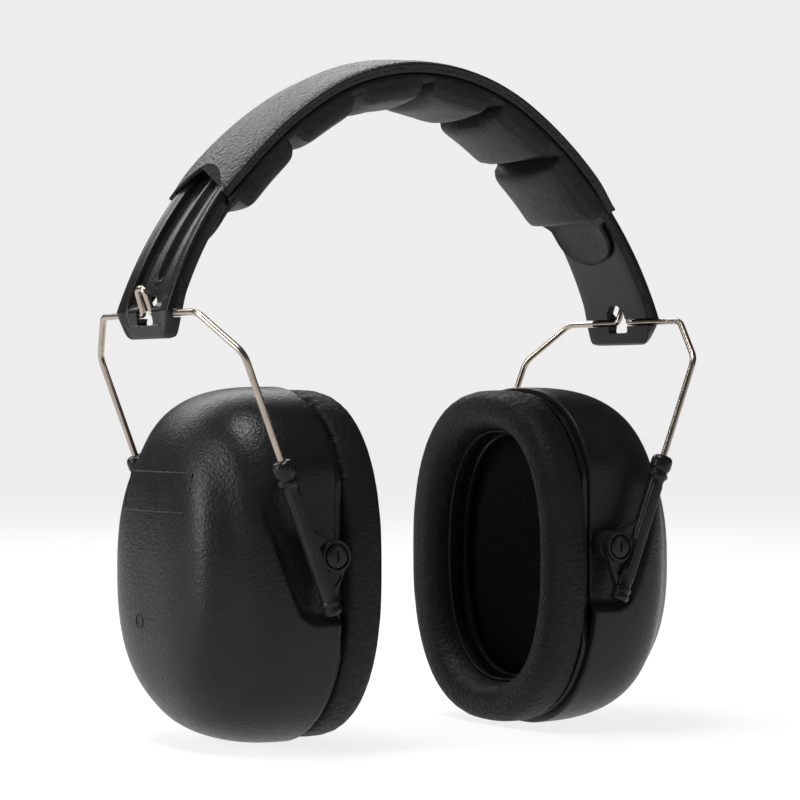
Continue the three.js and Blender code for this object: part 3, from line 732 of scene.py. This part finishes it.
def pad_lining():
    """The lining between and beside the pads, which ends in a rounded tongue on each limb."""
    far_end = pad_boundary(PADS_PER_SIDE)
    rings = []
    inner_reach = far_end + TONGUE_LENGTH
    near = STRIP_THICKNESS + GAP
    for along in np.concatenate([np.arange(-inner_reach, inner_reach, 1.0), [inner_reach]]):
        past = max(0.0, abs(along) - far_end)
        tongue = float(ease(past, 0, 1.6))
        round_end = math.sqrt(max(0.0, 1 - (max(0.0, past - 5) / (TONGUE_LENGTH - 4.98)) ** 2.4))
        wide = mix(SLEEVE_HALF_WIDTH - 0.5, TONGUE_HALF_WIDTH * round_end, tongue)
        top = mix(SLEEVE_SIDE_DEPTH + 0.2, near, tongue)
        bottom = mix(LINING_DEPTH, near + 1.2, tongue)
        rim = 0.45 * tongue
        side = 0.5
        across = np.array([wide - side, wide, wide, wide - side, wide - 1.6, wide * 0.5])
        depth = np.array([top, top + side, bottom + rim - side, bottom + rim, bottom, bottom])
        across = np.concatenate([across, -across[::-1]])
        depth = np.concatenate([depth, depth[::-1]])
        if tongue < 1:
            channel = np.array([STRIP_HALF_WIDTH + 0.6, STRIP_HALF_WIDTH + 0.6])
            seat = np.array([near, top])
        else:
            channel = np.array([wide * 0.6, wide * 0.7])
            seat = np.array([near, near])
        across = np.concatenate([across, -channel[::-1], channel])
        depth = np.concatenate([depth, seat[::-1], seat])
        rings.append(band_point(along, depth, across))
    obj = new_object("pad_lining_skin", loft(rings))
    finish_piece(obj, "headband", "pad_leatherette", ["pad_tongue_left", "pad_tongue_right"], 55)


# Wire yoke

def on_leg(distance, face):
    return np.array([LEG_TOP_X, face * LEG_Y, LEG_TOP_Z]) + LEG_DOWN * distance


def on_crank(across, height):
    return np.array([HINGE_X + height * math.sin(CRANK_LEAN), across, height * math.cos(CRANK_LEAN)])


def round_path(corners, radii, steps=14):
    """A path from corner to corner with a smooth bend at each inner one."""
    path = [corners[0]]
    for corner, before, after, radius in zip(corners[1:-1], corners, corners[2:], radii):
        back = (before - corner) / np.linalg.norm(before - corner)
        ahead = (after - corner) / np.linalg.norm(after - corner)
        half_turn = (math.pi - math.acos(float(np.clip(back @ ahead, -1, 1)))) / 2
        length = radius * math.tan(half_turn)
        start, end = corner + back * length, corner + ahead * length
        for share in np.linspace(0, 1, steps + 1):
            path.append((1 - share) ** 2 * start + 2 * share * (1 - share) * corner + share ** 2 * end)
    path.append(corners[-1])
    return np.array(path)


def bar(path, radius, sides, closes=False):
    """A round bar along a path, carried from point to point without twist."""
    before, after = np.roll(path, 1, 0), np.roll(path, -1, 0)
    if not closes:
        before[0], after[-1] = path[0], path[-1]
    directions = after - before
    directions /= np.linalg.norm(directions, axis=1, keepdims=True)
    across = np.array([1.0, 0.2, 0.1])
    turns = np.linspace(0, 2 * math.pi, sides, endpoint=False)
    rings = []
    for here, along in zip(path, directions):
        across = across - along * (across @ along)
        across /= np.linalg.norm(across)
        up = np.cross(along, across)
        rings.append(here + radius * (np.outer(np.cos(turns), across) + np.outer(np.sin(turns), up)))
    return loft(rings, closes)


def yoke_wire():
    def half(face):
        return [on_crank(face * CRANK_HALF_WIDTH, CRANK_HEIGHT),
                on_crank(face * (CRANK_HALF_WIDTH + CRANK_SPREAD), 0),
                np.array([HINGE_X, face * WIRE_SHOULDER_Y, 0]),
                on_leg(0, face),
                on_leg(WIRE_END_ALONG_LEG, face)]
    corners = [*half(-1)[::-1], *half(1)]
    bends = [6.5, 7.5, 1.6, 2.2]
    wire = bar(round_path(corners, [*bends, *bends[::-1]]), WIRE_RADIUS, 20)
    for name, sign in SIDES:
        obj = new_object(f"yoke_wire_{name}_drawn", mirrored(wire, sign))
        finish_piece(obj, f"yoke_{name}", "spring_steel", [f"yoke_wire_{name}"], 50)


# Arms and pins

def arm_tube():
    """The rear right tube, with a domed bulb and a ring at its mouth, four ridges and a ringed foot."""
    end = ARM_LENGTH
    shaft_radius = 2.38
    bulb = [(0, 1.5), (0.02, 1.9), (0.2, 2.5), (0.7, 3.0), (1.5, 3.28), (2.6, 3.3), (3.6, 3.28), (4.3, 3.1)]
    neck = [(4.7, 2.8), (5.3, 2.7), (5.7, 2.8)]
    mouth_ring = [(5.9, 3.1), (6.3, 3.2), (6.8, 3.15), (7.1, 2.85), (7.7, 2.5), (8.6, shaft_radius)]
    shaft_points = [(distance, shaft_radius) for distance in np.linspace(10, end - 6, 14)]
    foot_rings = [(end - 5, shaft_radius), (end - 4.2, 2.5), (end - 3.8, 2.85), (end - 3.3, 2.9),
                  (end - 2.8, 2.85), (end - 2.5, 2.6), (end - 1.9, 2.6), (end - 1.5, 2.85),
                  (end - 0.8, 2.85), (end - 0.3, 2.65), (end, 2.3)]
    profile = bulb + neck + mouth_ring + shaft_points + foot_rings
    outward = np.array([0, 1.0, 0])
    sideways = np.cross(LEG_DOWN, outward)
    turns = np.linspace(0, 2 * math.pi, 48, endpoint=False)
    ridge_turns = np.radians([34, 146, 214, 326])
    ridge_width, ridge_height = 0.14, 0.36
    nearness = sum(
        np.exp(-(np.angle(np.exp(1j * (turns - turn))) / ridge_width) ** 2) for turn in ridge_turns)
    rings = []
    top = on_leg(ARM_TOP_ALONG_LEG, 1)
    for distance, radius in profile:
        shaft = float(ease(distance, 8, 10) * (1 - ease(distance, end - 6.5, end - 4.6)))
        radii = radius + ridge_height * shaft * nearness
        ring = np.outer(np.cos(turns) * radii, outward) + np.outer(np.sin(turns) * radii, sideways)
        rings.append(top + LEG_DOWN * distance + ring)
    return loft(rings)


def at_pivot(shape):
    return moved(shape, x=PIVOT_X, z=PIVOT_Z)


def arm_web():
    """The flat web from the tube to the pivot eye, narrowing to the foot."""
    top = on_leg(ARM_TOP_ALONG_LEG + 19.5, 1)
    foot = on_leg(ARM_TOP_ALONG_LEG + ARM_LENGTH - 3.5, 1)
    eye_turns = np.radians(np.linspace(80, 205, 22))
    arc = [(PIVOT_X + EYE_RADIUS * math.cos(t), PIVOT_Z + EYE_RADIUS * math.sin(t)) for t in eye_turns]
    outline = [(top[0], top[2]), *arc, (foot[0] - 1.5, foot[2]), (foot[0], foot[2])]
    return prism(outline, 1, PLATE_INNER_Y, PLATE_OUTER_Y)


def web_recess():
    """A shallow triangle between the eye and the foot."""
    foot = on_leg(ARM_TOP_ALONG_LEG + ARM_LENGTH - 8.5, 1)
    level = PIVOT_Z - EYE_RADIUS - 1.1
    leg_x = on_leg((LEG_TOP_Z - level) / -LEG_DOWN[2], 1)[0]
    corners = [(PIVOT_X - 2.0, level), (leg_x - 3.4, level), (foot[0] - 2.9, foot[2])]
    return prism(rounded(corners[::-1], 0.35, 3), 1, PLATE_OUTER_Y - 0.5, PLATE_OUTER_Y + 1)


def eye_ring():
    rim = PLATE_OUTER_Y + RIM_HEIGHT
    hole = PIN_STEM_RADIUS + GAP
    recess = PIN_HEAD_RADIUS + 0.4
    profile = [(hole, PLATE_INNER_Y), (hole, PLATE_OUTER_Y), (recess, PLATE_OUTER_Y), (recess, rim - 0.2),
               (recess + 0.2, rim), (EYE_RADIUS - 0.35, rim), (EYE_RADIUS - 0.1, rim - 0.1),
               (EYE_RADIUS, rim - 0.35), (EYE_RADIUS, PLATE_INNER_Y)]
    return at_pivot(lathe(profile, 64, closes=True))


def arms():
    bore_length = ARM_LENGTH + 4
    path = np.array([on_leg(ARM_TOP_ALONG_LEG - 2, 1), on_leg(ARM_TOP_ALONG_LEG - 2 + bore_length, 1)])
    obj = new_object("arm", arm_web())
    combine(obj, at_pivot(lathe([(0, 40), (EYE_RADIUS - 0.5, 40), (EYE_RADIUS - 0.5, 50), (0, 50)], 64)))
    bevel(obj, 0.25)
    combine(obj, eye_ring(), "UNION")
    combine(obj, arm_tube(), "UNION")
    combine(obj, bar(path, WIRE_RADIUS + GAP, 48))
    combine(obj, at_pivot(lathe([(0, PLATE_OUTER_Y), (3.8, PLATE_OUTER_Y), (3.8, 52), (0, 52)], 64)))
    combine(obj, web_recess())
    for side_name, x_sign in SIDES:
        for face_name, y_sign in FACES:
            twin = copy_of(obj, f"arm_{face_name}_{side_name}_moulded", x_sign, y_sign)
            finish_piece(twin, f"arms_{side_name}", "gloss_plastic", [f"arm_{face_name}_{side_name}"], 32)
    bpy.data.objects.remove(obj)


def pivot_pins():
    """A headed pin with a lens-shaped slot in its domed head."""
    wall_inner = POCKET_FLOOR_Y - SHELL_WALL
    head = PLATE_OUTER_Y + GAP
    stem, wide = PIN_STEM_RADIUS, PIN_HEAD_RADIUS
    profile = [(0, wall_inner - 2), (stem - 0.4, wall_inner - 2), (stem, wall_inner - 1.6),
               (stem + 0.8, wall_inner - 1), (stem, wall_inner - GAP), (stem, head),
               (wide, head), (wide, head + 0.7), (wide - 0.12, head + 0.95),
               (wide - 0.45, head + 1.1), (2.0, head + 1.22), (1.0, head + 1.28), (0, head + 1.3)]
    obj = new_object("pin", at_pivot(lathe(profile, 56)))
    turns = np.linspace(0, 2 * math.pi, 28, endpoint=False)
    slot = [(0.55 * math.sin(t) * abs(math.sin(t)) ** 0.2, 1.75 * math.cos(t)) for t in turns]
    combine(obj, at_pivot(prism(slot, 1, head + 0.75, head + 3)))
    for side_name, x_sign in SIDES:
        for face_name, y_sign in FACES:
            twin = copy_of(obj, f"pivot_pin_{face_name}_{side_name}_turned", x_sign, y_sign)
            stands_for = [f"pivot_pin_{face_name}_{side_name}"]
            finish_piece(twin, f"cup_{side_name}", "gloss_plastic", stands_for, 32)
    bpy.data.objects.remove(obj)


# Cups

def outline_at(turns, inset=0):
    """(y, z) of the cup's outline at turns from its top, drawn in by an inset."""
    power = 2 / CUP_OUTLINE_POWER
    y = (CUP_HALF_WIDTH - inset) * np.sign(np.sin(turns)) * np.abs(np.sin(turns)) ** power
    z = (CUP_HALF_HEIGHT - inset) * np.sign(np.cos(turns)) * np.abs(np.cos(turns)) ** power
    return y, CUP_CENTRE_Z + z


def even_turns(count, side_weight=0.0):
    """Turns that give evenly spaced points on the outline, closer together on its sides by side_weight."""
    fine = np.linspace(0, 2 * math.pi, 6001)
    y, z = outline_at(fine)
    weight = 1 + side_weight * ease(np.abs((y[1:] + y[:-1]) / 2), 34, 38)
    length = np.concatenate([[0], np.cumsum(np.hypot(np.diff(y), np.diff(z)) * weight)])
    return np.interp((np.arange(count) + 0.5) / count * length[-1], length, fine)


def cup_ring(turns, level, inset=0.0):
    """One ring of the cup's dome, from level 0 at the seam to a quarter turn at its pole."""
    y, z = outline_at(turns, inset)
    lowness = (1 - np.cos(turns)) / 2
    power = mix(SHOULDER_POWER_TOP, SHOULDER_POWER_BOTTOM, lowness ** 3)
    outward = math.sin(level) ** (2 / power)
    spread = math.cos(level) ** (2 / power)
    sideness = np.sin(turns) ** 2 + 0.35 * np.sin(2 * turns) ** 2
    crease = CREST_CREASE * np.exp(-((spread - CREST_SPREAD) / CREST_WIDTH) ** 2) * sideness
    x = SEAM_X + (CUP_DEPTH - inset) * (outward - crease)
    return np.stack([x, y * spread, CUP_POLE_Z + (z - CUP_POLE_Z) * spread], -1)


def dome_levels(count):
    """Levels at even steps over the dome, from just above the seam to its pole."""
    fine = np.linspace(0.0005, math.pi / 2 - 0.0005, 4000)
    side = np.array([cup_ring(np.array([math.pi / 2]), level)[0] for level in fine])
    length = np.concatenate([[0], np.cumsum(np.linalg.norm(np.diff(side, axis=0), axis=1))])
    return np.interp(np.linspace(0, length[-1] * 0.994, count), length, fine)


def pocket_distance(x, z):
    """How far a point lies outside the arm's pocket, and how far inside as a negative number."""
    along = np.array([POCKET_BOTTOM_X - POCKET_TOP_X, POCKET_BOTTOM_Z - POCKET_TOP_Z])
    along = along / np.linalg.norm(along)
    outboard = (x - POCKET_TOP_X) * -along[1] + (z - POCKET_TOP_Z) * along[0]
    below = POCKET_BOTTOM_Z - z
    corner = np.hypot(np.maximum(outboard + 2, 0), np.maximum(below + 2, 0)) - 2
    return np.where((outboard > -2) & (below > -2), corner, np.maximum(outboard, below))


def soft_positive(value, softness):
    """About 0 for negative values, about the value for positive ones, and smooth between them."""
    return softness * np.log1p(np.exp(np.clip(value / softness, -30, 30)))


def press_pocket(ring):
    """Flattens the ring's front and back to the pocket's floor, with a sloping wall round it."""
    x, y, z = ring.T
    outside = pocket_distance(x, z)
    limit = POCKET_FLOOR_Y + POCKET_WALL_SLOPE * soft_positive(outside, POCKET_EDGE)
    over = np.abs(y) - limit
    pressed = np.abs(y) - soft_positive(over, POCKET_EDGE)
    is_near = over / POCKET_EDGE > -6
    return np.stack([x, np.sign(y) * np.where(is_near, np.maximum(pressed, 0), np.abs(y)), z], -1)


def cup_shells():
    turns = even_turns(400, side_weight=1.2)
    levels = dome_levels(120)
    outer = [press_pocket(cup_ring(turns, level)) for level in levels]
    seam_y, seam_z = outline_at(turns)
    lip = []
    for inset, x in ((0.0, 0.75), (0.08, 0.4), (0.3, 0.12), (0.7, 0.0), (SHELL_WALL - 0.2, 0.0)):
        inset_y, inset_z = outline_at(turns, inset)
        ring = np.stack([np.full(len(turns), SEAM_X + x), inset_y, inset_z], -1)
        pressed = press_pocket(np.stack([np.full(len(turns), SEAM_X + x), seam_y, seam_z], -1))
        limit = np.abs(pressed[:, 1]) - inset
        ring[:, 1] = np.sign(ring[:, 1]) * np.minimum(np.abs(ring[:, 1]), limit)
        lip.append(ring)
    inner = [press_inner(cup_ring(turns, level, SHELL_WALL)) for level in dome_levels(30)]
    outer = [ring for ring in outer if ring[:, 0].min() > SEAM_X + 0.8]
    inner = [ring for ring in inner if ring[:, 0].min() > SEAM_X + 0.5]
    obj = new_object("shell", loft([*outer[::-1], *lip, *inner]))
    boss_root, boss_top = POCKET_FLOOR_Y - 1, PLATE_INNER_Y - GAP
    boss = lathe([(0, boss_root), (EYE_RADIUS, boss_root), (EYE_RADIUS, boss_top - 0.3),
                  (EYE_RADIUS - 0.3, boss_top), (0, boss_top)], 56)
    for _, y_sign in FACES:
        combine(obj, mirrored(at_pivot(boss), 1, y_sign), "UNION")
    for name, x_sign in SIDES:
        twin = copy_of(obj, f"cup_shell_{name}_moulded", x_sign)
        finish_piece(twin, f"cup_{name}", "grained_plastic", [f"cup_shell_{name}"], 34)
    bpy.data.objects.remove(obj)


def press_inner(ring):
    x, y, z = ring.T
    inside = pocket_distance(x, z) < SHELL_WALL
    limit = np.where(inside, POCKET_FLOOR_Y - SHELL_WALL, np.abs(y))
    return np.stack([x, np.sign(y) * np.minimum(np.abs(y), limit), z], -1)


def dome_x(y, z):
    """The dome's x at points inside its outline, found level by level."""
    found = np.full(len(y), SEAM_X, float)
    turns = np.linspace(0, 2 * math.pi, 721)
    angle = np.arctan2(y, z - CUP_POLE_Z)
    radius = np.hypot(y, z - CUP_POLE_Z)
    for level in np.linspace(1.5, 0.2, 400):
        ring = cup_ring(turns, level)
        ring_angle = np.unwrap(np.arctan2(ring[:, 1], ring[:, 2] - CUP_POLE_Z))
        order = np.argsort(np.angle(np.exp(1j * ring_angle)))
        size = np.hypot(ring[:, 1], ring[:, 2] - CUP_POLE_Z)[order]
        limit = np.interp(angle, np.angle(np.exp(1j * ring_angle))[order], size)
        x_here = np.interp(angle, np.angle(np.exp(1j * ring_angle))[order], ring[order, 0])
        found = np.where((radius <= limit) & (found == SEAM_X), x_here, found)
    return found


def face_marks():
    """Two plain moulded lines on the dome: a rounded frame high on it and a small ring below it."""
    frame_line = np.array(rounded([(-24, -62), (24, -62), (24, -41.5), (-24, -41.5)], 5.5, 8))
    ring_turns = np.linspace(0, 2 * math.pi, 40, endpoint=False)
    ring_line = np.stack([5.5 + 2.2 * np.cos(ring_turns), -90 + 2.2 * np.sin(ring_turns)], -1)
    for label, line, thick in (("frame", frame_line, 0.22), ("ring", ring_line, 0.25)):
        closed = np.vstack([line, line[:1]])
        length = np.concatenate([[0], np.cumsum(np.linalg.norm(np.diff(closed, axis=0), axis=1))])
        spots = np.arange(0, length[-1] - 0.4, 0.8)
        y, z = np.interp(spots, length, closed[:, 0]), np.interp(spots, length, closed[:, 1])
        path = np.stack([dome_x(y, z), y, z], -1)
        path[:, 0] = smooth_loop(path[:, 0])
        shape = bar(path, thick, 8, closes=True)
        for name, sign in SIDES:
            obj = new_object(f"cup_{label}_line_{name}", mirrored(shape, sign))
            finish_piece(obj, f"cup_{name}", "grained_plastic", (), 60)


def smooth_loop(values, times=6):
    for _ in range(times):
        values = (np.roll(values, 1) + 2 * values + np.roll(values, -1)) / 4
    return values


def ring_of(section, count, closes=True):
    """A closed ring with the cup's outline from (inset, x) pairs."""
    turns = even_turns(count)
    lines = []
    for inset, x in section:
        y, z = outline_at(turns, inset)
        lines.append(np.stack([np.full(count, x), y, z], -1))
    return loft([np.array([line[index] for line in lines]) for index in range(count)], closes)


def seal_plates():
    near, far = SEAL_PLATE_X
    hole = CUSHION_WIDTH + 1
    edge = 0.35
    rim = SEAM_GROOVE_DEPTH
    section = [(rim + edge, near), (rim, near + edge), (rim, far - edge), (rim + edge, far),
               (hole - edge, far), (hole, far - edge), (hole, near + edge), (hole - edge, near)]
    plate = ring_of(section, 200)
    clear_of_pocket = POCKET_FLOOR_Y - 1.0
    plate[0][:, 1] = np.clip(plate[0][:, 1], -clear_of_pocket, clear_of_pocket)
    for name, sign in SIDES:
        obj = new_object(f"seal_plate_{name}_moulded", mirrored(plate, sign))
        finish_piece(obj, f"cup_{name}", "gloss_plastic", [f"seal_plate_{name}"], 32)


def ear_cushions():
    """A leatherette tube filled by pressure, held along its back, with a welded inner seam."""
    face, back = CUSHION_FACE_X, CUSHION_BACK_X
    slack = 0.9
    outer = slack
    inner = CUSHION_WIDTH - slack
    low = face + slack
    section = [(1.0, back), (outer, back - 2), (outer, back - 5), (outer, face + 5), (outer + 0.5, face + 3),
               (outer + 1.6, face + 1.7), (outer + 3.2, low), (7, low - 0.1), (inner - 4, low),
               (inner - 1.6, face + 2.4), (inner - 0.3, face + 4.6), (inner, face + 7.5),
               (inner, back - 3), (inner, back)]
    obj = new_object("cushion", ring_of(section, 150))

    def is_held(points):
        return points[:, 0] > back - 1.2

    inflate(obj, is_held, voxel=1.9, swell=1.3)
    seam_turns = even_turns(150)
    seam_y, seam_z = outline_at(seam_turns, CUSHION_WIDTH - 0.35)
    seam = bar(np.stack([np.full(150, face + 9.2), seam_y, seam_z], -1), 0.55, 10, closes=True)
    for name, sign in SIDES:
        twin = copy_of(obj, f"ear_cushion_{name}", sign)
        finish_piece(twin, f"cup_{name}", "cushion_leatherette",
                     [f"cushion_cover_{name}", f"cushion_foam_{name}"], 70)
        bead = new_object(f"ear_cushion_seam_{name}", mirrored(seam, sign))
        finish_piece(bead, f"cup_{name}", "cushion_leatherette", (), 60)
    bpy.data.objects.remove(obj)


def damping_foams():
    """A cut slab of open foam with a slightly crowned, pitted face."""
    near, far = DAMPING_FOAM_X
    shares = np.concatenate([np.linspace(0.04, 0.96, 26), [0.985, 1.0]])
    turns = even_turns(160)
    y, z = outline_at(turns, DAMPING_FOAM_INSET)

    def ring(share, x):
        return np.stack([np.full(len(turns), x), y * share, CUP_CENTRE_Z + (z - CUP_CENTRE_Z) * share], -1)

    rings = [ring(share, near + 0.4 + 1.1 * share ** 6) for share in shares]
    rings += [ring(1.0, near + 3), ring(1.0, far - 1), ring(0.985, far), ring(0.5, far), ring(0.04, far)]
    for name, sign in SIDES:
        obj = new_object(f"damping_foam_{name}_cut", mirrored(loft(rings), sign))
        finish_piece(obj, f"cup_{name}", "foam", [f"damping_foam_{name}"], 50)


# Studio

AZIMUTH = math.radians(-31.9)
CAMERA_DISTANCE = 848
CAMERA_BELOW_HINGE = 25
CAMERA_SHIFTED_RIGHT = 0.5
ROOM_LIGHT = 0.06
BACKDROP_LIGHT = 0.85
FLOOR_LIGHT = 0.83
FLOOR_RADIUS = 7
LENS = 123.6


def camera():
    back = Vector((math.sin(AZIMUTH), -math.cos(AZIMUTH), 0))
    right = Vector((math.cos(AZIMUTH), math.sin(AZIMUTH), 0))
    place = back * CAMERA_DISTANCE + right * CAMERA_SHIFTED_RIGHT + Vector((0, 0, LIFT - CAMERA_BELOW_HINGE))
    data = bpy.data.cameras.new("camera")
    data.sensor_width = 36
    data.lens = LENS
    data.clip_start = 0.01
    data.clip_end = 50
    obj = bpy.data.objects.new("camera", data)
    obj.location = place / MILLIMETRES
    obj.rotation_euler = (-back).to_track_quat("-Z", "Y").to_euler()
    bpy.context.scene.collection.objects.link(obj)
    bpy.context.scene.camera = obj


def softbox(name, place, aim, size, power):
    data = bpy.data.lights.new(name, "AREA")
    data.shape = "RECTANGLE"
    data.size, data.size_y = size
    data.energy = power
    obj = bpy.data.objects.new(name, data)
    obj.location = place
    obj.visible_camera = False
    obj.rotation_euler = (Vector(aim) - Vector(place)).to_track_quat("-Z", "Y").to_euler()
    bpy.context.scene.collection.objects.link(obj)


def studio():
    floor_turns = np.linspace(0, 2 * math.pi, 96, endpoint=False)
    mesh = bpy.data.meshes.new("floor")
    edge = [(FLOOR_RADIUS * math.cos(turn), FLOOR_RADIUS * math.sin(turn), 0) for turn in floor_turns]
    mesh.from_pydata(edge, [], [list(range(len(edge)))])
    floor = bpy.data.objects.new("floor", mesh)
    bpy.context.scene.collection.objects.link(floor)
    pale = Surface("pale_floor", (0.2, 0.2, 0.2), 0.8, specular=0.0)
    pale.shader.inputs["Emission Color"].default_value = (1, 1, 1, 1)
    pale.shader.inputs["Emission Strength"].default_value = FLOOR_LIGHT
    mesh.materials.append(pale.material)

    world = bpy.data.worlds.new("studio")
    bpy.context.scene.world = world
    world.use_nodes = True
    nodes, links = world.node_tree.nodes, world.node_tree.links
    background = nodes["Background"]
    background.inputs["Color"].default_value = (1, 1, 1, 1)
    seen = nodes.new("ShaderNodeLightPath").outputs["Is Camera Ray"]
    brightness = nodes.new("ShaderNodeMapRange")
    brightness.inputs["To Min"].default_value = ROOM_LIGHT
    brightness.inputs["To Max"].default_value = BACKDROP_LIGHT
    links.new(seen, brightness.inputs["Value"])
    links.new(brightness.outputs["Result"], background.inputs["Strength"])
    bpy.context.scene.view_settings.view_transform = "Standard"

    middle = (0, 0, 0.1)
    softbox("overhead", (-0.25, 0.1, 1.2), middle, (0.6, 0.35), 14)
    softbox("behind", (0.1, 1.05, 0.85), middle, (1.3, 0.3), 7)
    softbox("left", (-1.25, 0.25, 0.5), middle, (0.2, 0.9), 11)
    softbox("right_front", (0.62, -1.0, 0.3), middle, (0.2, 0.5), 0.5)


camera()
studio()
band_strip()
band_sleeve()
pad_lining()
for pad_index in range(2 * PADS_PER_SIDE):
    head_pad(pad_index)
yoke_wire()
arms()
pivot_pins()
cup_shells()
face_marks()
seal_plates()
ear_cushions()
damping_foams()
